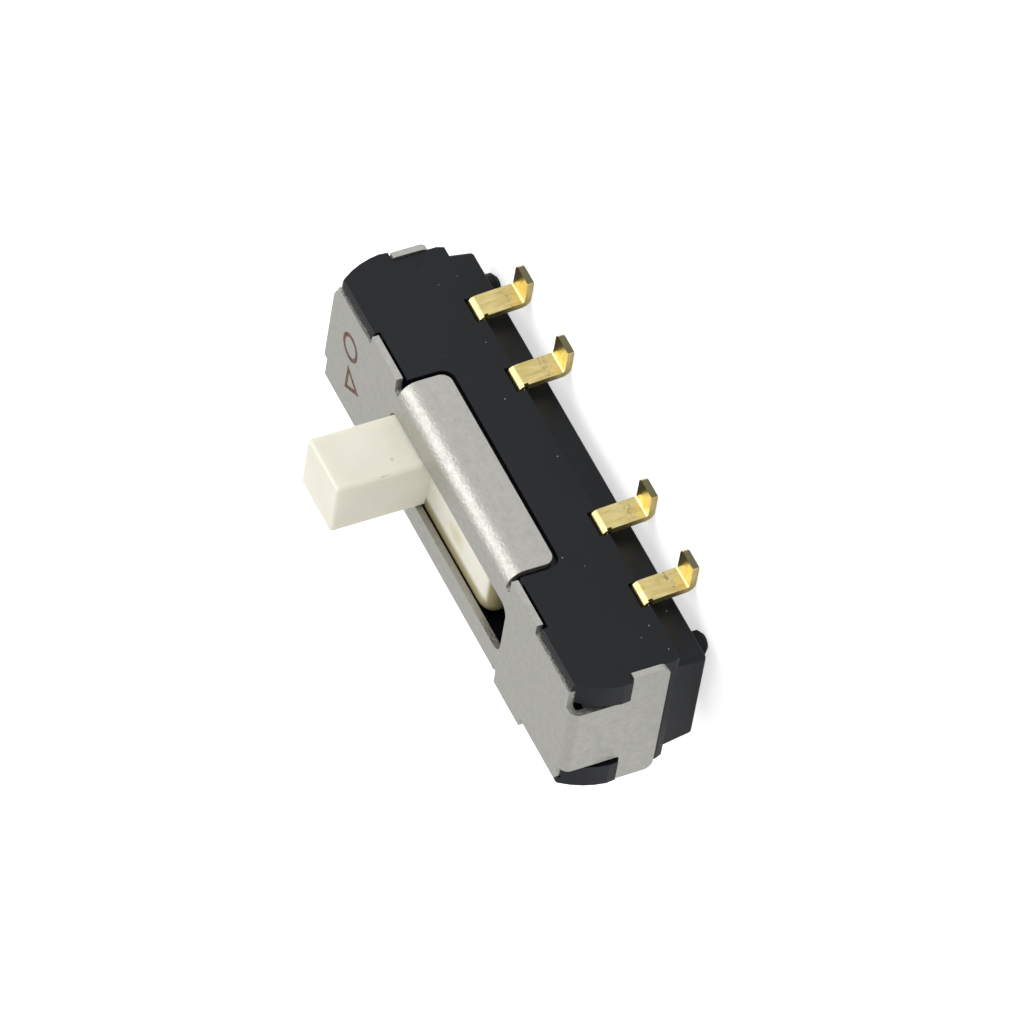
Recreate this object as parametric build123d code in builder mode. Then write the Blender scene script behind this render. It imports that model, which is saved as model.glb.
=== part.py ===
"""Surface-mount slide switch with three positions, worked from the top.

Frame: the board plane is z = 0, with +Z up along the lever. X runs along the switch and the
lever rests at its +X end. The four terminals leave the -Y side. All sizes are in millimetres.
"""

import os

from build123d import *

# ---- driving dimensions -------------------------------------------------------------------
pitch = 2.0  # one step of the lever, and the spacing of each outer pair of terminals
inner_terminal_x = 2.05  # from the middle of the switch to an inner terminal
seat = 0.41  # board to the datum that the housing's heights are taken from

# housing
wall_y = 1.66  # half width of the side walls
base_height = 0.64
base_drop = 0.05  # the base reaches this far below the walls' datum
base_foot_x, base_foot_y = 5.79, 1.31  # half sizes of the base at its underside
base_top_x, base_top_y = 5.83, 1.42  # half sizes of the base where the walls begin
body_height = 2.98  # underside of the housing to the underside of the cover's plate
shoulder_rise = 0.08  # the shoulders stand this far above the plate's underside
shoulder_round = 0.07
end_seat_x = 5.89  # end faces that the cover's end flaps lie on
lug_x = 6.10  # the lugs that the cover hooks behind
lug_low_z = 1.84  # their lower face, above the housing's underside
stud_front_x, stud_back_x = 5.16, -5.04
stud_y, stud_radius, stud_chamfer = 0.76, 0.28, 0.10

# cavity
floor_z = 0.80  # above the housing's underside, level with the contact pads
cavity_x, cavity_y = 5.35, 1.10
detent_groove_y = 1.24  # bottom of the ball's track in the +Y wall
detent_notch_radius = 0.30
detent_z = 2.0  # height of the ball above the housing's underside

# cover
sheet = 0.15
side_bend, end_bend = 0.40, 0.22  # outside radii of the bends
plate_end_y = 1.44  # half width of the plate beside the shoulders
plate_end_x = 5.74  # where the end flaps start to bend
lip_x, lip_y = 4.09, 1.69
flap_x = 2.68
relief, relief_y = 0.18, 1.29  # gap between a side flap and the lips beside it, and its end
flap_seat_y = 1.52  # the shallow recess that a side flap lies in
bend_start_y, bend_clear = 1.36, 0.20  # the housing's edge is cut back under each bend
flap_low_z = 2.02  # above the housing's underside
end_flap_x = 6.04
neck_y, neck_gap = 0.95, 0.09
arm_y, arm_low_z, arm_high_z = 1.71, 0.95, 1.81
slot_x, slot_y, slot_radius = 2.87, 0.752, 0.28

# slider
lever_x, lever_y, lever_out = 1.50, 1.44, 2.0  # length, thickness, height above the cover
slider_half, slider_y = 3.30, 1.05
slider_low_z, slider_shelf_z = 1.35, 2.52
tongue_half, tongue_y, tongue_gap, tongue_round = 3.80, 1.06, 0.06, 0.32
bore_radius, bore_depth = 0.34, 1.80
post_radius, post_x = 0.15, 0.70

# contacts
strip, strip_y_in = 0.15, 0.45  # thickness, and how far the pads reach past the middle
terminal_width = 0.58
terminal_drop_y = 1.735  # middle of the strip where it turns out to the foot
foot_tip_y = 2.41
clip_sheet, clip_width, clip_split = 0.08, 0.90, 0.16
ball_radius = 0.30
wire_radius, coil_radius, coil_turns = 0.045, 0.23, 5

# ---- derived ------------------------------------------------------------------------------
rest_x = pitch  # middle of the lever at rest
under = seat + body_height  # underside of the cover's plate
top = under + sheet
outer_terminal_x = inner_terminal_x + pitch
terminal_xs = {
    "terminal_1": outer_terminal_x,
    "terminal_2": inner_terminal_x,
    "terminal_3": -inner_terminal_x,
    "terminal_4": -outer_terminal_x,
}
ends = (1, -1)


def box_between(low, high, mode=Mode.ADD):
    """A box from its lowest to its highest corner."""
    size = [b - a for a, b in zip(low, high)]
    middle = [(a + b) / 2 for a, b in zip(low, high)]
    with Locations(tuple(middle)):
        Box(*size, mode=mode)


# ---- terminals: gold-plated strip, moulded into the base, bent down and out to a foot -------
pad_z = seat + floor_z - strip / 2
terminals = {}
for label, x in terminal_xs.items():
    with BuildPart() as terminal:
        with BuildSketch(Plane.YZ.offset(x)):
            with BuildLine():
                FilletPolyline(
                    (strip_y_in, pad_z),
                    (-1.66, pad_z),
                    (-terminal_drop_y, strip / 2),
                    (-foot_tip_y, strip / 2),
                    radius=0.15,
                )
                offset(amount=strip / 2, kind=Kind.INTERSECTION)
            make_face()
        extrude(amount=terminal_width / 2, both=True)
        # the pads end square inside, and the foot ends square outside
        with Locations((x, strip_y_in + strip / 2, pad_z)):
            Box(2, strip, 1, mode=Mode.SUBTRACT)
        with Locations((x, -foot_tip_y - strip / 2, strip / 2)):
            Box(2, strip, 1, mode=Mode.SUBTRACT)
        if label == "terminal_2":
            # the common terminal's plate reaches under the middle of the switch
            box_between((-0.32, -strip_y_in, pad_z - strip / 2), (x, strip_y_in, pad_z + strip / 2))
        # a small step in the strip's edge where it leaves the housing
        edge = x - terminal_width / 2
        box_between((edge - 0.1, -2.0, seat + 0.57), (edge + 0.05, -1.57, seat + 0.67), Mode.SUBTRACT)
        tip = terminal.edges().filter_by(Axis.Z).group_by(Axis.Y)[0].sort_by(Axis.X)
        fillet(tip[-1], radius=0.12)
        fillet(terminal.edges().filter_by(Axis.Z).group_by(Axis.Y)[0].sort_by(Axis.X)[0], radius=0.03)
    terminal.part.label = label
    terminals[label] = terminal.part

# ---- housing: one black moulding with the terminals moulded in ------------------------------
with BuildPart() as housing:
    # upper body with its end lugs, drawn from the side
    with BuildSketch(Plane.XZ):
        with BuildLine():
            half = Polyline(
                (0, seat + base_height),
                (base_top_x, seat + base_height),
                (end_seat_x, seat + 0.80),
                (end_seat_x, seat + lug_low_z),
                (lug_x, seat + lug_low_z),
                (lug_x + 0.02, seat + 2.05),
            )
            crown = ThreePointArc(half @ 1, (6.03, seat + 2.47), (5.72, under + shoulder_rise))
            Line(crown @ 1, (0, under + shoulder_rise))
            Line((0, under + shoulder_rise), (0, seat + base_height))
        make_face()
        mirror(about=Plane.YZ)
    extrude(amount=wall_y, both=True)
    shoulder = housing.edges().filter_by(Axis.X).group_by(Axis.Z)[-1]
    fillet(shoulder, radius=shoulder_round)
    # base, drawn in a little towards the board
    with BuildSketch(Plane.XY.offset(seat - base_drop)):
        RectangleRounded(2 * base_foot_x, 2 * base_foot_y, 0.12)
    with BuildSketch(Plane.XY.offset(seat + base_height)):
        RectangleRounded(2 * base_top_x, 2 * base_top_y, 0.12)
    loft()
    foot_rim = housing.faces().sort_by(Axis.Z)[0].edges()
    fillet(foot_rim, radius=0.08)
    # four round studs that stand on the board with the feet
    with BuildSketch(Plane.XY):
        for x in (stud_front_x, stud_back_x):
            with Locations((x, stud_y), (x, -stud_y)):
                Circle(stud_radius)
    extrude(amount=seat + 0.05)
    rims = housing.faces().filter_by(Axis.Z).group_by(Axis.Z)[0].edges()
    chamfer(rims, length=stud_chamfer)

    # seat of the cover's plate, its lips and its side flaps
    plate_gap = 0.03
    box_between(
        (-plate_end_x - 0.2, -plate_end_y - plate_gap, under),
        (plate_end_x + 0.2, plate_end_y + plate_gap, under + 1),
        Mode.SUBTRACT,
    )
    box_between((-lip_x - 0.09, -2, under), (lip_x + 0.09, 2, under + 1), Mode.SUBTRACT)
    for side in (1, -1):
        with Locations((0, side * (bend_start_y + 0.5), under + 1 - 0.08)):
            Box(2 * lip_x + 0.18, 1.0, 2.0, mode=Mode.SUBTRACT)
        with Locations((0, side * (bend_start_y + 0.5), under + 1 - bend_clear)):
            Box(2 * flap_x + 0.24, 1.0, 2.0, mode=Mode.SUBTRACT)
        with BuildSketch(Plane.XZ.offset(-side * flap_seat_y)):
            with Locations((0, under)):
                RectangleRounded(2 * flap_x + 0.24, 2 * (under - seat - flap_low_z + 0.11), 0.30)
        extrude(amount=-side * 0.5, mode=Mode.SUBTRACT)
    # seats of the end flaps: the neck passes between the lugs and bends over the wall
    for end in ends:
        with Locations((end * (end_seat_x + 0.5), 0, seat + 2.2)):
            Box(1.0, 2 * (neck_y + neck_gap), 2.6, mode=Mode.SUBTRACT)
        with Locations((end * (plate_end_x + 0.5), 0, under + 0.35)):
            Box(1.0, 2 * (neck_y + neck_gap), 1.0, mode=Mode.SUBTRACT)
    # cavity, with a way over each end wall for the slider's tongue
    with Locations((0, 0, seat + floor_z + 1.5)):
        Box(2 * cavity_x, 2 * cavity_y, 3.0, mode=Mode.SUBTRACT)
    with Locations((0, 0, under)):
        Box(
            2 * (tongue_half + pitch + 0.06),
            2 * cavity_y,
            2 * (body_height - slider_shelf_z + 0.05),
            mode=Mode.SUBTRACT,
        )
    # the detent ball's track in the +Y wall, with one notch for each position
    track_height = 2 * ball_radius + 0.10
    with Locations((0, detent_groove_y - 0.25, seat + detent_z)):
        Box(2 * pitch + 1.2, 0.5, track_height, mode=Mode.SUBTRACT)
    with BuildSketch(Plane.XY.offset(seat + detent_z - track_height / 2)):
        with Locations(*[(step * pitch, detent_groove_y - 0.18) for step in (-1, 0, 1)]):
            Circle(detent_notch_radius)
    extrude(amount=track_height, mode=Mode.SUBTRACT)
    # a pocket over each terminal, and the moulded-in terminal itself
    for x in terminal_xs.values():
        box_between((x - 0.33, -2.0, seat + 0.5), (x + 0.33, -1.56, seat + 0.86), Mode.SUBTRACT)
    for part in terminals.values():
        add(part, mode=Mode.SUBTRACT)
housing.part.label = "housing"

# ---- cover: one folded sheet, hooked behind the housing's end lugs --------------------------
with BuildPart() as cover:
    # plate with its slot
    with BuildSketch(Plane.XY.offset(under)):
        Rectangle(2 * flap_x, 2 * (lip_y - side_bend) + 0.02)
        for end in ends:
            with Locations((end * (plate_end_x + flap_x) / 2, 0)):
                Rectangle(plate_end_x - flap_x, 2 * plate_end_y)
            with Locations((end * (lip_x + flap_x) / 2, 0)):
                Rectangle(lip_x - flap_x, 2 * lip_y)
            with Locations((end * (flap_x + relief / 2), lip_y), (end * (flap_x + relief / 2), -lip_y)):
                SlotCenterToCenter(2 * (lip_y - relief_y) - relief, relief, rotation=90, mode=Mode.SUBTRACT)
        RectangleRounded(2 * slot_x, 2 * slot_y, slot_radius, mode=Mode.SUBTRACT)
    extrude(amount=sheet)
    # two side flaps, bent down
    with BuildSketch(Plane.YZ):
        with BuildLine():
            FilletPolyline(
                (lip_y - sheet / 2, under - side_bend),
                (lip_y - sheet / 2, top - sheet / 2),
                (1.2, top - sheet / 2),
                radius=side_bend - sheet / 2,
            )
            offset(amount=sheet / 2, kind=Kind.INTERSECTION)
        make_face()
        mirror(about=Plane.YZ)
    extrude(amount=flap_x, both=True)
    flap_height = under - side_bend - seat - flap_low_z
    for side in (1, -1):
        with BuildSketch(Plane.XZ.offset(side * lip_y)):
            with Locations((0, seat + flap_low_z + flap_height / 2)):
                Rectangle(2 * flap_x, flap_height)
            fillet(vertices().group_by(Axis.Y)[0], radius=0.24)
        extrude(amount=-side * sheet)
    # two end flaps: a neck bent down over the end wall, and a cross arm behind the lugs
    with BuildSketch(Plane.XZ):
        with BuildLine():
            FilletPolyline(
                (plate_end_x - 0.3, top - sheet / 2),
                (end_flap_x - sheet / 2, top - sheet / 2),
                (end_flap_x - sheet / 2, seat + arm_low_z + 0.2),
                radius=end_bend - sheet / 2,
            )
            offset(amount=sheet / 2, kind=Kind.INTERSECTION)
        make_face()
        mirror(about=Plane.YZ)
    extrude(amount=neck_y, both=True)
    arm_height = arm_high_z - arm_low_z
    for end in ends:
        with BuildSketch(Plane.YZ.offset(end * end_flap_x)):
            with Locations((0, seat + (arm_low_z + arm_high_z) / 2)):
                Rectangle(2 * arm_y, arm_height)
            fillet(vertices().group_by(Axis.Y)[0], radius=0.22)
        extrude(amount=-end * sheet)
    inner_corners = [
        edge
        for edge in cover.edges().filter_by(Axis.X)
        if abs(abs(edge.center().Y) - neck_y) < 0.01 and abs(edge.center().Z - seat - arm_high_z) < 0.01
    ]
    fillet(inner_corners, radius=0.05)
cover.part.label = "cover"

# ---- slider: the ivory moulding with the lever ----------------------------------------------
with BuildPart() as slider:
    box_between(
        (rest_x - slider_half, -slider_y, seat + slider_low_z),
        (rest_x + slider_half, slider_y, seat + slider_shelf_z),
    )
    fillet(slider.edges().filter_by(Axis.Z), radius=0.10)
    # the tongue under the cover keeps the slot closed
    with BuildSketch(Plane.XY.offset(seat + slider_shelf_z)):
        with Locations((rest_x, 0)):
            RectangleRounded(2 * tongue_half, 2 * tongue_y, 0.45)
    extrude(amount=body_height - slider_shelf_z - tongue_gap)
    fillet(slider.faces().sort_by(Axis.Z)[-1].edges(), radius=tongue_round)
    # lever
    with BuildSketch(Plane.XY.offset(under - 0.12)):
        with Locations((rest_x, 0)):
            RectangleRounded(lever_x, lever_y, 0.10)
    extrude(amount=0.12 + sheet + lever_out)
    fillet(slider.faces().sort_by(Axis.Z)[-1].edges(), radius=0.07)
    # bore for the detent, opening on the +Y side
    with BuildSketch(Plane.XZ.offset(-slider_y)):
        with Locations((rest_x, seat + detent_z)):
            Circle(bore_radius)
    extrude(amount=bore_depth, mode=Mode.SUBTRACT)
    # two posts that carry the contact clip
    with BuildSketch(Plane.XY.offset(seat + slider_low_z)):
        with Locations((rest_x - post_x, 0), (rest_x + post_x, 0)):
            Circle(post_radius)
    extrude(amount=-0.18)
slider.part.label = "slider"

# ---- contact clip: bridges the common plate and one outer pad -------------------------------
clip_back_z = seat + slider_low_z - clip_sheet / 2
clip_touch_z = seat + floor_z + 0.05
with BuildPart() as contact_clip:
    with BuildSketch(Plane.XZ):
        with BuildLine():
            FilletPolyline(
                (rest_x - pitch - 0.38, clip_touch_z + 0.20),
                (rest_x - pitch, clip_touch_z),
                (rest_x - 1.25, clip_back_z),
                (rest_x + 1.25, clip_back_z),
                (rest_x + pitch, clip_touch_z),
                (rest_x + pitch + 0.38, clip_touch_z + 0.20),
                radius=0.15,
            )
            offset(amount=clip_sheet / 2, kind=Kind.INTERSECTION)
        make_face()
    extrude(amount=clip_width / 2, both=True)
    with Locations(*[(rest_x + end * (pitch + 0.4), 0, clip_touch_z) for end in ends]):
        Box(2.0, clip_split, 2.0, mode=Mode.SUBTRACT)
    with BuildSketch(Plane.XY.offset(clip_back_z - 0.5)):
        with Locations((rest_x - post_x, 0), (rest_x + post_x, 0)):
            Circle(post_radius + 0.01)
    extrude(amount=1.0, mode=Mode.SUBTRACT)
contact_clip.part.label = "contact_clip"

# ---- detent: a ball pushed into the wall's notches by a coil spring --------------------------
ball_y = slider_y + 0.13 - ball_radius
with BuildPart() as detent_ball:
    with Locations((rest_x, ball_y, seat + detent_z)):
        Sphere(ball_radius)
detent_ball.part.label = "detent_ball"

spring_low_y = slider_y - bore_depth + wire_radius + 0.01
spring_length = ball_y - ball_radius - wire_radius - 0.01 - spring_low_y
with BuildPart() as detent_spring:
    with BuildLine() as coil:
        Helix(
            pitch=spring_length / coil_turns,
            height=spring_length,
            radius=coil_radius,
            center=(rest_x, spring_low_y, seat + detent_z),
            direction=(0, 1, 0),
        )
    with BuildSketch(Plane(origin=coil.wires()[0] @ 0, z_dir=coil.wires()[0] % 0)):
        Circle(wire_radius)
    sweep(is_frenet=True)
detent_spring.part.label = "detent_spring"

# ---- one file for each piece ---------------------------------------------------------------
os.makedirs("parts", exist_ok=True)
export_step(housing.part, "parts/housing.step")
export_step(cover.part, "parts/cover.step")
export_step(slider.part, "parts/slider.step")
export_step(contact_clip.part, "parts/contact_clip.step")
export_step(detent_ball.part, "parts/detent_ball.step")
export_step(detent_spring.part, "parts/detent_spring.step")
for label, part in terminals.items():
    export_step(part, f"parts/{label}.step")
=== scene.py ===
"""Visual model of a surface-mount slide switch: a black moulded base, a folded steel cover, an ivory
lever and four gold-plated feet.

Every length is in metres and every place is in the switch's own frame: +Z up along the lever, X along
the housing, and the board plane at z = 0. The shapes of the main pieces come from the frame. This
script gives them their finishes and adds the small things that the frame leaves out.
"""

from __future__ import annotations

import logging
import math
from dataclasses import dataclass, field
from enum import Enum
from typing import Iterable, Sequence

import bmesh
import bpy
from mathutils import Matrix, Vector

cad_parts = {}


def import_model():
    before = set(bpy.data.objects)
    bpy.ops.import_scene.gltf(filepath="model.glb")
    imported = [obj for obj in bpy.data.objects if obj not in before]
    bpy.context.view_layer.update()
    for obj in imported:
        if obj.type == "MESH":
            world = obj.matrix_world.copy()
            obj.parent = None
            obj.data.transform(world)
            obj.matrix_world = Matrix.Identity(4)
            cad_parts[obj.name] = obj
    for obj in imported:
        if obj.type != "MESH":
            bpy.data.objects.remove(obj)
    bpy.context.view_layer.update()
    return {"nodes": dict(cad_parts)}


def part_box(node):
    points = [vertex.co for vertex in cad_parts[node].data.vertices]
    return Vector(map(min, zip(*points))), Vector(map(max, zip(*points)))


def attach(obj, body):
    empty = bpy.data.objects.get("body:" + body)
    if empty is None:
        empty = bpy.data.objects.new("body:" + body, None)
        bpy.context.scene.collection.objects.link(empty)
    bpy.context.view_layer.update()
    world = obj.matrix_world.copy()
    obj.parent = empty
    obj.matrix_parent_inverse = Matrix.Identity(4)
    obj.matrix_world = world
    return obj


log = logging.getLogger("slide_switch")

MM = 0.001


class Body(Enum):
    """The two bodies of the switch."""

    BASE = "base"
    SLIDE = "slide"


# ---- small tools ----------------------------------------------------------------------------


def linear(hex_colour: str) -> tuple[float, float, float, float]:
    """Turns an sRGB hex colour into linear RGBA.

    Args:
        hex_colour: six hex digits with a leading hash.

    Returns:
        Four linear channels, with an alpha of 1.
    """
    channels = [int(hex_colour[i : i + 2], 16) / 255 for i in (1, 3, 5)]
    values = [c / 12.92 if c <= 0.04045 else ((c + 0.055) / 1.055) ** 2.4 for c in channels]
    return (values[0], values[1], values[2], 1.0)


def add_node(
    tree: bpy.types.NodeTree,
    kind: str,
    settings: dict[str, object] | None = None,
    inputs: dict[str | int, object] | None = None,
) -> bpy.types.Node:
    """Adds one shader node.

    Args:
        tree: the material's node tree.
        kind: the node's type name.
        settings: attributes to set on the node.
        inputs: values for its sockets, or sockets of other nodes to link to them.

    Returns:
        The new node.
    """
    node = tree.nodes.new(kind)
    for name, value in (settings or {}).items():
        setattr(node, name, value)
    for name, value in (inputs or {}).items():
        if isinstance(value, bpy.types.NodeSocket):
            tree.links.new(value, node.inputs[name])
        else:
            node.inputs[name].default_value = value
    return node


def per_metre(size_mm: float) -> float:
    """The texture scale at which one cycle of a pattern is size_mm wide."""
    return 1.0 / (size_mm * MM)


def set_ramp(node: bpy.types.Node, stops: Sequence[tuple[float, str]]) -> None:
    """Sets a colour ramp's stops.

    Args:
        node: the colour ramp.
        stops: a place from 0 to 1 and a hex colour for each stop, in order.
    """
    elements = node.color_ramp.elements
    while len(elements) > len(stops):
        elements.remove(elements[-1])
    while len(elements) < len(stops):
        elements.new(1.0)
    for element, (place, colour) in zip(elements, stops):
        element.position = place
        element.color = linear(colour)


def new_material(name: str) -> tuple[bpy.types.Material, bpy.types.NodeTree, bpy.types.Node, bpy.types.Node]:
    """Starts a material with an empty Principled shader and Object coordinates.

    Args:
        name: the finish's name.

    Returns:
        The material, its tree, its Principled shader and its coordinates.
    """
    material = bpy.data.materials.new(name)
    material.use_nodes = True
    tree = material.node_tree
    tree.nodes.clear()
    shader = add_node(tree, "ShaderNodeBsdfPrincipled")
    add_node(tree, "ShaderNodeOutputMaterial", inputs={"Surface": shader.outputs["BSDF"]})
    coordinates = add_node(tree, "ShaderNodeTexCoord")
    return material, tree, shader, coordinates


# ---- finishes -------------------------------------------------------------------------------


@dataclass(frozen=True)
class RolledSteel:
    """Satin rolled steel sheet, nickel-plated, folded in a press: a warm pale grey with a soft
    mottle, fine rolling lines along the sheet, and a fine grit in its relief.
    """

    name: str = "rolled_steel"
    dark: str = "#b5b4af"
    light: str = "#bebdb7"
    roughness: float = 0.45
    mottle_mm: float = 0.16
    line_mm: float = 0.035
    line_length: float = 14.0
    relief_mm: float = 0.030
    grit_mm: float = 0.075
    grit_share: float = 0.92
    lines_share: float = 0.18
    duller: float = 0.08
    brighter: float = 0.06
    relief_strength: float = 0.7

    def make(self) -> bpy.types.Material:
        """Builds the material.

        Returns:
            The new material.
        """
        material, tree, shader, coordinates = new_material(self.name)
        place = coordinates.outputs["Object"]
        mottle = add_node(
            tree,
            "ShaderNodeTexNoise",
            inputs={"Vector": place, "Scale": per_metre(self.mottle_mm), "Detail": 5.0, "Roughness": 0.62},
        )
        # the rolling lines run along X, so the pattern is stretched that way
        stretch = add_node(
            tree,
            "ShaderNodeMapping",
            inputs={"Vector": place, "Scale": (1.0 / self.line_length, 1.0, 1.0)},
        )
        lines = add_node(
            tree,
            "ShaderNodeTexNoise",
            inputs={
                "Vector": stretch.outputs["Vector"],
                "Scale": per_metre(self.line_mm),
                "Detail": 3.0,
                "Roughness": 0.55,
            },
        )
        both = add_node(
            tree,
            "ShaderNodeMix",
            {"data_type": "FLOAT"},
            {0: self.lines_share, 2: mottle.outputs["Fac"], 3: lines.outputs["Fac"]},
        )
        colour = add_node(tree, "ShaderNodeValToRGB", inputs={"Fac": both.outputs[0]})
        set_ramp(colour, ((0.34, self.dark), (0.62, self.light)))
        gloss = add_node(
            tree,
            "ShaderNodeMapRange",
            inputs={
                "Value": both.outputs[0],
                "From Min": 0.3,
                "From Max": 0.7,
                "To Min": self.roughness + self.duller,
                "To Max": self.roughness - self.brighter,
            },
        )
        # fine grit that only shows where the light catches a bend, drawn coarser than the real grit so
        # that it shows at all
        grit = add_node(
            tree,
            "ShaderNodeTexNoise",
            inputs={"Vector": place, "Scale": per_metre(self.grit_mm), "Detail": 2.0, "Roughness": 0.7},
        )
        relief = add_node(
            tree,
            "ShaderNodeMix",
            {"data_type": "FLOAT"},
            {0: self.grit_share, 2: both.outputs[0], 3: grit.outputs["Fac"]},
        )
        bump = add_node(
            tree,
            "ShaderNodeBump",
            inputs={
                "Strength": self.relief_strength,
                "Distance": self.relief_mm * MM,
                "Height": relief.outputs[0],
            },
        )
        tree.links.new(colour.outputs["Color"], shader.inputs["Base Color"])
        tree.links.new(gloss.outputs["Result"], shader.inputs["Roughness"])
        tree.links.new(bump.outputs["Normal"], shader.inputs["Normal"])
        shader.inputs["Metallic"].default_value = 1.0
        return material


@dataclass(frozen=True)
class Fleck:
    """A small stain, scratch or patch of painted shade at one place on a piece, with half sizes along X, Y
    and Z.
    """

    centre_mm: tuple[float, float, float]
    reach_mm: tuple[float, float, float]
    colour: str
    strength: float
    grain_mm: float = 0.06

    def blend(
        self, tree: bpy.types.NodeTree, place: bpy.types.NodeSocket, under: bpy.types.NodeSocket
    ) -> bpy.types.NodeSocket:
        """Lays the fleck over a colour.

        Args:
            tree: the material's node tree.
            place: Object coordinates.
            under: the colour beneath.

        Returns:
            The colour with the fleck on it.
        """
        scale = tuple(1.0 / (reach * MM) for reach in self.reach_mm)
        moved = add_node(
            tree,
            "ShaderNodeMapping",
            inputs={
                "Vector": place,
                "Location": tuple(-c * MM * k for c, k in zip(self.centre_mm, scale)),
                "Scale": scale,
            },
        )
        away = add_node(
            tree, "ShaderNodeVectorMath", {"operation": "LENGTH"}, {0: moved.outputs["Vector"]}
        )
        near = add_node(
            tree,
            "ShaderNodeMapRange",
            {"interpolation_type": "SMOOTHSTEP"},
            {
                "Value": away.outputs["Value"],
                "From Min": 1.0,
                "From Max": 0.4,
                "To Min": 0.0,
                "To Max": self.strength,
            },
        )
        noise = add_node(
            tree,
            "ShaderNodeTexNoise",
            inputs={"Vector": place, "Scale": per_metre(self.grain_mm), "Detail": 3.0},
        )
        rough = add_node(
            tree,
            "ShaderNodeMapRange",
            inputs={
                "Value": noise.outputs["Fac"],
                "From Min": 0.35,
                "From Max": 0.6,
                "To Min": 0.2,
                "To Max": 1.0,
            },
        )
        amount = add_node(
            tree,
            "ShaderNodeMath",
            {"operation": "MULTIPLY"},
            {0: near.outputs["Result"], 1: rough.outputs["Result"]},
        )
        mixed = add_node(
            tree,
            "ShaderNodeMix",
            {"data_type": "RGBA"},
            {0: amount.outputs["Value"], 6: under, 7: linear(self.colour)},
        )
        return mixed.outputs[2]


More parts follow.
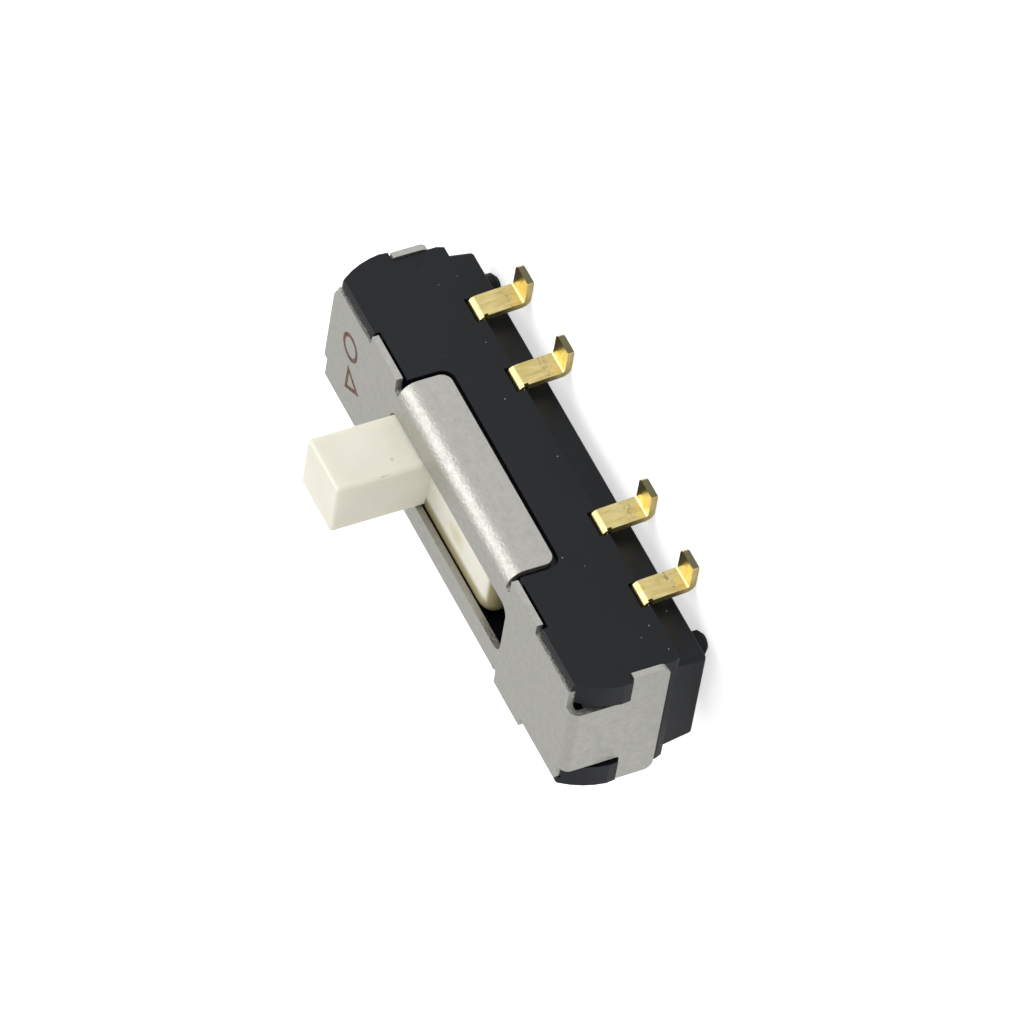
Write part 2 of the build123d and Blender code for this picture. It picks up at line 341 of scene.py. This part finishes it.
@dataclass(frozen=True)
class MouldedPlastic:
    """Injection-moulded plastic: a faint flow mottle, a very low mould texture, and tiny specks
    of dust or pigment.
    """

    name: str
    shade: str
    tint: str
    speck: str
    roughness: float
    ior: float = 1.55
    mottle_mm: float = 1.1
    grain_mm: float = 0.045
    grain_relief_mm: float = 0.0012
    speck_mm: float = 0.42
    speck_share: float = 0.045
    specular: float = 0.5
    subsurface: float = 0.0
    subsurface_mm: float = 0.3
    speck_cut: float = 0.5
    # the next seven settings lay painted shade on the slider's tongue, under the cover's slot edges
    slot_shade_paint: str = ""
    slot_shade_cover: float = 0.9
    slot_shade_high_mm: float = 3.31
    slot_shade_low_mm: float = 3.25
    slot_shade_side_mm: float = 0.38
    slot_shade_side_full_mm: float = 0.62
    slot_shade_top_mm: float = 3.36
    flecks: tuple[Fleck, ...] = ()
    glossier: float = 0.04
    duller: float = 0.05
    grain_strength: float = 0.6
    subsurface_colours: tuple[float, float, float] = (1.0, 0.8, 0.5)

    def make(self) -> bpy.types.Material:
        """Builds the material.

        Returns:
            The new material.
        """
        material, tree, shader, coordinates = new_material(self.name)
        place = coordinates.outputs["Object"]
        mottle = add_node(
            tree,
            "ShaderNodeTexNoise",
            inputs={"Vector": place, "Scale": per_metre(self.mottle_mm), "Detail": 3.0, "Roughness": 0.5},
        )
        body = add_node(tree, "ShaderNodeValToRGB", inputs={"Fac": mottle.outputs["Fac"]})
        set_ramp(body, ((0.3, self.shade), (0.7, self.tint)))
        cells = add_node(
            tree,
            "ShaderNodeTexVoronoi",
            {"feature": "F1"},
            {"Vector": place, "Scale": per_metre(self.speck_mm), "Randomness": 1.0},
        )
        dot = add_node(
            tree,
            "ShaderNodeMapRange",
            {"interpolation_type": "SMOOTHSTEP"},
            {
                "Value": cells.outputs["Distance"],
                "From Min": self.speck_share,
                "From Max": self.speck_share * 0.5,
                "To Min": 0.0,
                "To Max": 1.0,
            },
        )
        # only some cells hold a speck
        pick = add_node(
            tree, "ShaderNodeSeparateColor", inputs={"Color": cells.outputs["Color"]}
        )
        some = add_node(
            tree, "ShaderNodeMath", {"operation": "GREATER_THAN"}, {0: pick.outputs["Red"], 1: self.speck_cut}
        )
        amount = add_node(
            tree,
            "ShaderNodeMath",
            {"operation": "MULTIPLY"},
            {0: dot.outputs["Result"], 1: some.outputs["Value"]},
        )
        colour = add_node(
            tree,
            "ShaderNodeMix",
            {"data_type": "RGBA"},
            {0: amount.outputs["Value"], 6: body.outputs["Color"], 7: linear(self.speck)},
        )
        shown = colour.outputs[2]
        if self.slot_shade_paint:
            # painted shade: the tongue's rounded edges and all below its top turn olive, standing in for the
            # shadow under the cover's slot edges
            parts = add_node(tree, "ShaderNodeSeparateXYZ", inputs={"Vector": place})
            low = add_node(
                tree,
                "ShaderNodeMapRange",
                {"interpolation_type": "SMOOTHSTEP"},
                {
                    "Value": parts.outputs["Z"],
                    "From Min": self.slot_shade_high_mm * MM,
                    "From Max": self.slot_shade_low_mm * MM,
                    "To Min": 0.0,
                    "To Max": self.slot_shade_cover,
                },
            )
            side = add_node(tree, "ShaderNodeMath", {"operation": "ABSOLUTE"}, {0: parts.outputs["Y"]})
            beside = add_node(
                tree,
                "ShaderNodeMapRange",
                {"interpolation_type": "SMOOTHSTEP"},
                {
                    "Value": side.outputs["Value"],
                    "From Min": self.slot_shade_side_mm * MM,
                    "From Max": self.slot_shade_side_full_mm * MM,
                    "To Min": 0.0,
                    "To Max": self.slot_shade_cover,
                },
            )
            below = add_node(
                tree,
                "ShaderNodeMath",
                {"operation": "LESS_THAN"},
                {0: parts.outputs["Z"], 1: self.slot_shade_top_mm * MM},
            )
            kept = add_node(
                tree,
                "ShaderNodeMath",
                {"operation": "MULTIPLY"},
                {0: beside.outputs["Result"], 1: below.outputs["Value"]},
            )
            either = add_node(
                tree,
                "ShaderNodeMath",
                {"operation": "MAXIMUM"},
                {0: low.outputs["Result"], 1: kept.outputs["Value"]},
            )
            painted_slot_shade = add_node(
                tree,
                "ShaderNodeMix",
                {"data_type": "RGBA"},
                {0: either.outputs["Value"], 6: shown, 7: linear(self.slot_shade_paint)},
            )
            shown = painted_slot_shade.outputs[2]
        for fleck in self.flecks:
            shown = fleck.blend(tree, place, shown)
        grain = add_node(
            tree,
            "ShaderNodeTexNoise",
            inputs={"Vector": place, "Scale": per_metre(self.grain_mm), "Detail": 3.0, "Roughness": 0.6},
        )
        gloss = add_node(
            tree,
            "ShaderNodeMapRange",
            inputs={
                "Value": mottle.outputs["Fac"],
                "From Min": 0.3,
                "From Max": 0.7,
                "To Min": self.roughness - self.glossier,
                "To Max": self.roughness + self.duller,
            },
        )
        bump = add_node(
            tree,
            "ShaderNodeBump",
            inputs={
                "Strength": self.grain_strength,
                "Distance": self.grain_relief_mm * MM,
                "Height": grain.outputs["Fac"],
            },
        )
        tree.links.new(shown, shader.inputs["Base Color"])
        tree.links.new(gloss.outputs["Result"], shader.inputs["Roughness"])
        tree.links.new(bump.outputs["Normal"], shader.inputs["Normal"])
        shader.inputs["IOR"].default_value = self.ior
        shader.inputs["Specular IOR Level"].default_value = self.specular
        shader.inputs["Subsurface Weight"].default_value = self.subsurface
        shader.inputs["Subsurface Scale"].default_value = self.subsurface_mm * MM
        shader.inputs["Subsurface Radius"].default_value = self.subsurface_colours
        return material


@dataclass(frozen=True)
class PlatedStrip:
    """Punched metal strip with thin plating: bright and smooth, with slight drawing marks along
    the strip and a little unevenness from the bath.
    """

    name: str
    dark: str
    light: str
    roughness: float
    ripple_mm: float = 0.16
    relief_mm: float = 0.004
    along: tuple[float, float, float] = (1.0, 0.25, 0.25)
    bare: str = ""
    cut_mm: float = -2.404
    # a band of darker bronze patches a little above each foot
    foot_band: str = ""
    foot_band_height_mm: float = 0.47
    foot_band_reach_mm: float = 0.14
    foot_band_grain_mm: float = 0.09
    foot_band_cover: float = 0.75
    duller: float = 0.06
    brighter: float = 0.04
    relief_strength: float = 0.5

    def make(self) -> bpy.types.Material:
        """Builds the material.

        Returns:
            The new material.
        """
        material, tree, shader, coordinates = new_material(self.name)
        stretch = add_node(
            tree,
            "ShaderNodeMapping",
            inputs={"Vector": coordinates.outputs["Object"], "Scale": self.along},
        )
        ripple = add_node(
            tree,
            "ShaderNodeTexNoise",
            inputs={
                "Vector": stretch.outputs["Vector"],
                "Scale": per_metre(self.ripple_mm),
                "Detail": 4.0,
                "Roughness": 0.6,
            },
        )
        colour = add_node(tree, "ShaderNodeValToRGB", inputs={"Fac": ripple.outputs["Fac"]})
        set_ramp(colour, ((0.32, self.dark), (0.62, self.light)))
        gloss = add_node(
            tree,
            "ShaderNodeMapRange",
            inputs={
                "Value": ripple.outputs["Fac"],
                "From Min": 0.3,
                "From Max": 0.7,
                "To Min": self.roughness + self.duller,
                "To Max": self.roughness - self.brighter,
            },
        )
        bump = add_node(
            tree,
            "ShaderNodeBump",
            inputs={
                "Strength": self.relief_strength,
                "Distance": self.relief_mm * MM,
                "Height": ripple.outputs["Fac"],
            },
        )
        shown = colour.outputs["Color"]
        parts = add_node(
            tree, "ShaderNodeSeparateXYZ", inputs={"Vector": coordinates.outputs["Object"]}
        )
        if self.bare:
            # the cut end of the strip has no plating
            cut = add_node(
                tree,
                "ShaderNodeMath",
                {"operation": "LESS_THAN"},
                {0: parts.outputs["Y"], 1: self.cut_mm * MM},
            )
            mixed = add_node(
                tree,
                "ShaderNodeMix",
                {"data_type": "RGBA"},
                {0: cut.outputs["Value"], 6: shown, 7: linear(self.bare)},
            )
            shown = mixed.outputs[2]
        if self.foot_band:
            # darker bronze patches in a band a little above each foot, at the height of a small pressed mark
            # on the strip
            height = add_node(
                tree,
                "ShaderNodeMath",
                {"operation": "SUBTRACT"},
                {0: parts.outputs["Z"], 1: self.foot_band_height_mm * MM},
            )
            away = add_node(tree, "ShaderNodeMath", {"operation": "ABSOLUTE"}, {0: height.outputs[0]})
            near = add_node(
                tree,
                "ShaderNodeMapRange",
                {"interpolation_type": "SMOOTHSTEP"},
                {
                    "Value": away.outputs[0],
                    "From Min": self.foot_band_reach_mm * MM,
                    "From Max": 0.0,
                    "To Min": 0.0,
                    "To Max": 1.0,
                },
            )
            band_noise = add_node(
                tree,
                "ShaderNodeTexNoise",
                inputs={
                    "Vector": coordinates.outputs["Object"],
                    "Scale": per_metre(self.foot_band_grain_mm),
                    "Detail": 4.0,
                    "Roughness": 0.7,
                },
            )
            band_patches = add_node(
                tree,
                "ShaderNodeMapRange",
                inputs={
                    "Value": band_noise.outputs["Fac"],
                    "From Min": 0.50,
                    "From Max": 0.62,
                    "To Min": 0.0,
                    "To Max": self.foot_band_cover,
                },
            )
            band_amount = add_node(
                tree,
                "ShaderNodeMath",
                {"operation": "MULTIPLY"},
                {0: near.outputs["Result"], 1: band_patches.outputs["Result"]},
            )
            mixed = add_node(
                tree,
                "ShaderNodeMix",
                {"data_type": "RGBA"},
                {0: band_amount.outputs["Value"], 6: shown, 7: linear(self.foot_band)},
            )
            shown = mixed.outputs[2]
        tree.links.new(shown, shader.inputs["Base Color"])
        tree.links.new(gloss.outputs["Result"], shader.inputs["Roughness"])
        tree.links.new(bump.outputs["Normal"], shader.inputs["Normal"])
        shader.inputs["Metallic"].default_value = 1.0
        return material


STEEL = RolledSteel()
BLACK_MOULDING = MouldedPlastic(
    # glass-filled nylon, moulded against a polished tool: near black with a soft gloss
    name="black_glass_filled_nylon",
    shade="#0a0d12",
    tint="#0e1117",
    speck="#9a9da3",
    roughness=0.40,
    specular=0.24,
    speck_mm=0.36,
    speck_share=0.055,
)
IVORY_MOULDING = MouldedPlastic(
    # unfilled nylon: light goes a little way in, so its shaded sides turn warm
    name="ivory_nylon",
    shade="#dddacb",
    tint="#e5e2d5",
    speck="#a19a86",
    roughness=0.58,
    ior=1.53,
    speck_share=0.03,
    subsurface=0.45,
    subsurface_mm=0.4,
    # painted shade: olive for the tongue's edges and sides under the cover's slot edges
    slot_shade_paint="#8f8455",
    flecks=(
        Fleck((1.27, -0.72, 4.42), (0.035, 0.05, 0.20), "#7a6a50", 0.75, 0.05),
        Fleck((1.62, -0.72, 4.10), (0.06, 0.05, 0.05), "#9a8c74", 0.6, 0.04),
        # painted shade: a darker beige patch on the tongue's top beyond the lever, standing in for the shadow
        # in a notch there
        Fleck((-0.16, 0.05, 3.33), (0.48, 0.34, 0.12), "#cbc49c", 0.75, 0.30),
    ),
)
GOLD_PLATE = PlatedStrip(
    # hard gold over nickel: pale yellow, and dull bronze where the strip was cut off at the toe
    name="gold_plated_bronze",
    dark="#d0ba76",
    light="#e6d698",
    roughness=0.30,
    ripple_mm=0.10,
    relief_mm=0.0022,
    bare="#79745a",
    # darker bronze for the band a little above each foot
    foot_band="#8a7a52",
)
SPRING_STRIP = PlatedStrip(name="phosphor_bronze_strip", dark="#b98a58", light="#e0b98a", roughness=0.26)
BALL_STEEL = PlatedStrip(
    name="polished_ball_steel", dark="#b0b0b0", light="#d0d0d0", roughness=0.12, relief_mm=0.001
)
SPRING_WIRE = PlatedStrip(name="drawn_spring_wire", dark="#8c8c8c", light="#c0c0c0", roughness=0.3)
LASER_MARK = PlatedStrip(
    # the laser leaves a thin brown oxide on the steel, with no depth
    name="laser_oxide",
    dark="#5e4536",
    light="#87695a",
    roughness=0.5,
    ripple_mm=0.06,
    relief_mm=0.001,
)


def dress(node: bpy.types.Object, material: bpy.types.Material) -> None:
    """Gives every slot of a frame node one material.

    Args:
        node: the frame node's mesh.
        material: the finish to give it.
    """
    slots = node.material_slots
    if not slots:
        node.data.materials.append(material)
    for item in slots:
        item.material = material


# ---- sub-assemblies ---------------------------------------------------------------------------


@dataclass
class FramePieces:
    """The pieces whose shapes come from the frame, and the finish of each."""

    nodes: dict[str, bpy.types.Object]
    finishes: dict[str, object] = field(
        default_factory=lambda: {
            "housing": BLACK_MOULDING,
            "cover": STEEL,
            "slider": IVORY_MOULDING,
            "contact_clip": SPRING_STRIP,
            "detent_ball": BALL_STEEL,
            "detent_spring": SPRING_WIRE,
            "terminal_1": GOLD_PLATE,
            "terminal_2": GOLD_PLATE,
            "terminal_3": GOLD_PLATE,
            "terminal_4": GOLD_PLATE,
        }
    )

    def build(self) -> None:
        """Dresses each node in its finish."""
        made: dict[str, bpy.types.Material] = {}
        for name, finish in self.finishes.items():
            if finish.name not in made:
                made[finish.name] = finish.make()
            dress(self.nodes[name], made[finish.name])
            log.info("dressed %s in %s", name, finish.name)


@dataclass
class LaserMark:
    """A plain mark on the cover's plate beyond the lever: a ring with a triangle beside it."""

    ring_x: float = 4.88 * MM
    ring_y: float = -0.42 * MM
    ring_radius: float = 0.35 * MM
    ring_sides: int = 48
    triangle_x: float = 4.66 * MM
    triangle_y: float = 0.50 * MM
    triangle_radius: float = 0.42 * MM
    triangle_sides: int = 3
    triangle_turn: float = math.radians(90)
    line: float = 0.10 * MM
    depth: float = 0.002 * MM
    sunk: float = 0.0005 * MM

    def _outline(
        self, mesh: bmesh.types.BMesh, centre: Vector, radius: float, sides: int, turn: float = 0.0
    ) -> None:
        """Adds a closed outline, as a thin plate with its middle taken out.

        Args:
            mesh: the mesh to add to.
            centre: the outline's centre, on its underside.
            radius: from the centre to the outer corners.
            sides: how many sides it has.
            turn: its turn about the vertical, in radians.
        """
        disc = bmesh.ops.create_circle(
            mesh,
            cap_ends=True,
            segments=sides,
            radius=radius,
            matrix=Matrix.Translation(centre) @ Matrix.Rotation(turn, 4, "Z"),
        )
        middle = disc["verts"][0].link_faces[0]
        rim = bmesh.ops.inset_region(
            mesh, faces=[middle], thickness=self.line, use_even_offset=True, use_boundary=True
        )
        bmesh.ops.delete(mesh, geom=[middle], context="FACES_ONLY")
        raised = bmesh.ops.extrude_face_region(mesh, geom=rim["faces"])
        top = [item for item in raised["geom"] if isinstance(item, bmesh.types.BMVert)]
        bmesh.ops.translate(mesh, verts=top, vec=(0, 0, self.depth))

    def build(self, plate_top: float) -> bpy.types.Object:
        """Builds the mark.

        Args:
            plate_top: height of the plate's outer face.

        Returns:
            The mark as one piece.
        """
        mesh = bmesh.new()
        z = plate_top - self.sunk
        self._outline(mesh, Vector((self.ring_x, self.ring_y, z)), self.ring_radius, self.ring_sides)
        self._outline(
            mesh,
            Vector((self.triangle_x, self.triangle_y, z)),
            self.triangle_radius,
            self.triangle_sides,
            self.triangle_turn,
        )
        bmesh.ops.recalc_face_normals(mesh, faces=mesh.faces)
        data = bpy.data.meshes.new("laser_mark")
        mesh.to_mesh(data)
        mesh.free()
        piece = bpy.data.objects.new("laser_mark", data)
        bpy.context.scene.collection.objects.link(piece)
        data.materials.append(LASER_MARK.make())
        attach(piece, Body.BASE.value)
        log.info("built laser_mark")
        return piece


# ---- studio ---------------------------------------------------------------------------------


@dataclass(frozen=True)
class Lamp:
    """One square soft light that faces the switch."""

    name: str
    place_mm: tuple[float, float, float]
    side_mm: float
    power: float

    def hang(self) -> None:
        """Hangs the light in its place."""
        data = bpy.data.lights.new(self.name, "AREA")
        data.shape = "SQUARE"
        data.size = self.side_mm * MM
        data.energy = self.power
        lamp = bpy.data.objects.new(self.name, data)
        bpy.context.scene.collection.objects.link(lamp)
        lamp.location = Vector(self.place_mm) * MM
        lamp.rotation_euler = (-lamp.location).to_track_quat("-Z", "Y").to_euler()


@dataclass
class Studio:
    """A white sweep, an evenly lit room, two soft lamps and the camera."""

    span: float = 0.9
    floor_colour: str = "#e2e2e2"
    floor_roughness: float = 0.9
    drop: float = 0.01 * MM
    lift: float = 0.62
    room_light: float = 0.74
    mirror_share: float = 0.11
    eye: Vector = field(default_factory=lambda: Vector((-132.94, -195.42, 88.71)) * MM)
    right: Vector = field(default_factory=lambda: Vector((-0.4213, -0.1128, -0.8999)))
    down: Vector = field(default_factory=lambda: Vector((-0.7374, 0.6202, 0.2675)))
    forward: Vector = field(default_factory=lambda: Vector((0.5280, 0.7763, -0.3445)))
    focal_length: float = 421.9
    sensor: float = 36.0
    nearest: float = 0.01
    farthest: float = 10.0
    lamps: tuple[Lamp, ...] = (
        Lamp("key", (86.0, -80.0, 140.0), 190.0, 0.21),
        Lamp("fill", (-150.0, -90.0, 60.0), 130.0, 0.06),
    )

    def floor(self) -> None:
        """Lays the floor: white to the camera, pale to the light, with the switch's shadow kept."""
        mesh = bmesh.new()
        bmesh.ops.create_grid(mesh, x_segments=1, y_segments=1, size=self.span)
        data = bpy.data.meshes.new("floor")
        mesh.to_mesh(data)
        mesh.free()
        piece = bpy.data.objects.new("floor", data)
        bpy.context.scene.collection.objects.link(piece)
        data.transform(Matrix.Translation((0, 0, -self.drop)))
        material, tree, shader, _ = new_material("white_sweep")
        shader.inputs["Base Color"].default_value = linear(self.floor_colour)
        shader.inputs["Roughness"].default_value = self.floor_roughness
        # seen directly it is lifted to white, and a little in a mirror; the lift lights nothing
        lift = add_node(
            tree, "ShaderNodeMath", {"operation": "MULTIPLY"}, {0: self._seen(tree), 1: self.lift}
        )
        tree.links.new(lift.outputs["Value"], shader.inputs["Emission Strength"])
        shader.inputs["Emission Color"].default_value = (1.0, 1.0, 1.0, 1.0)
        # the sweep has one side, so the switch's underside shows from below
        side = add_node(tree, "ShaderNodeNewGeometry")
        clear = add_node(tree, "ShaderNodeBsdfTransparent")
        one_sided = add_node(
            tree,
            "ShaderNodeMixShader",
            inputs={0: side.outputs["Backfacing"], 1: shader.outputs["BSDF"], 2: clear.outputs["BSDF"]},
        )
        surface = next(node for node in tree.nodes if node.type == "OUTPUT_MATERIAL")
        tree.links.new(one_sided.outputs["Shader"], surface.inputs["Surface"])
        data.materials.append(material)

    def _seen(self, tree: bpy.types.NodeTree) -> bpy.types.NodeSocket:
        """Adds the test for a surface that is looked at and does not light the switch.

        Args:
            tree: the node tree to add it to.

        Returns:
            A socket that is 1 to the camera and through glass, and a share of it in a mirror.
        """
        path = add_node(tree, "ShaderNodeLightPath")
        seen = add_node(
            tree,
            "ShaderNodeMath",
            {"operation": "MULTIPLY"},
            {0: path.outputs["Is Glossy Ray"], 1: self.mirror_share},
        ).outputs["Value"]
        for ray in ("Is Camera Ray", "Is Transmission Ray"):
            seen = add_node(
                tree, "ShaderNodeMath", {"operation": "MAXIMUM"}, {0: seen, 1: path.outputs[ray]}
            ).outputs["Value"]
        return seen

    def world(self) -> None:
        """Lights the room evenly and shows white beyond the floor."""
        world = bpy.data.worlds.new("room")
        bpy.context.scene.world = world
        world.use_nodes = True
        tree = world.node_tree
        tree.nodes.clear()
        strength = add_node(
            tree,
            "ShaderNodeMapRange",
            inputs={"Value": self._seen(tree), "To Min": self.room_light, "To Max": 1.0},
        )
        room = add_node(
            tree,
            "ShaderNodeBackground",
            inputs={"Color": (1, 1, 1, 1), "Strength": strength.outputs["Result"]},
        )
        add_node(tree, "ShaderNodeOutputWorld", inputs={"Surface": room.outputs["Background"]})

    def camera(self) -> None:
        """Sets the camera."""
        data = bpy.data.cameras.new("camera")
        data.lens = self.focal_length
        data.sensor_width = self.sensor
        data.clip_start = self.nearest
        data.clip_end = self.farthest
        data.dof.use_dof = False
        camera = bpy.data.objects.new("camera", data)
        bpy.context.scene.collection.objects.link(camera)
        axes = Matrix((self.right.normalized(), -self.down.normalized(), -self.forward.normalized()))
        camera.matrix_world = Matrix.Translation(self.eye) @ axes.transposed().to_4x4()
        bpy.context.scene.camera = camera

    def build(self) -> None:
        """Sets up floor, lights and camera."""
        self.floor()
        self.world()
        for lamp in self.lamps:
            lamp.hang()
        self.camera()
        bpy.context.scene.view_settings.view_transform = "Standard"


# ---- assembly -------------------------------------------------------------------------------


def main() -> None:
    """Builds the whole visual model around the frame."""
    logging.basicConfig(level=logging.INFO, format="%(name)s: %(message)s")
    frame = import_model()
    FramePieces(nodes=frame["nodes"]).build()
    plate_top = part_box("cover")[1][2]
    LaserMark().build(plate_top)
    Studio().build()


if __name__ == "__main__":
    main()
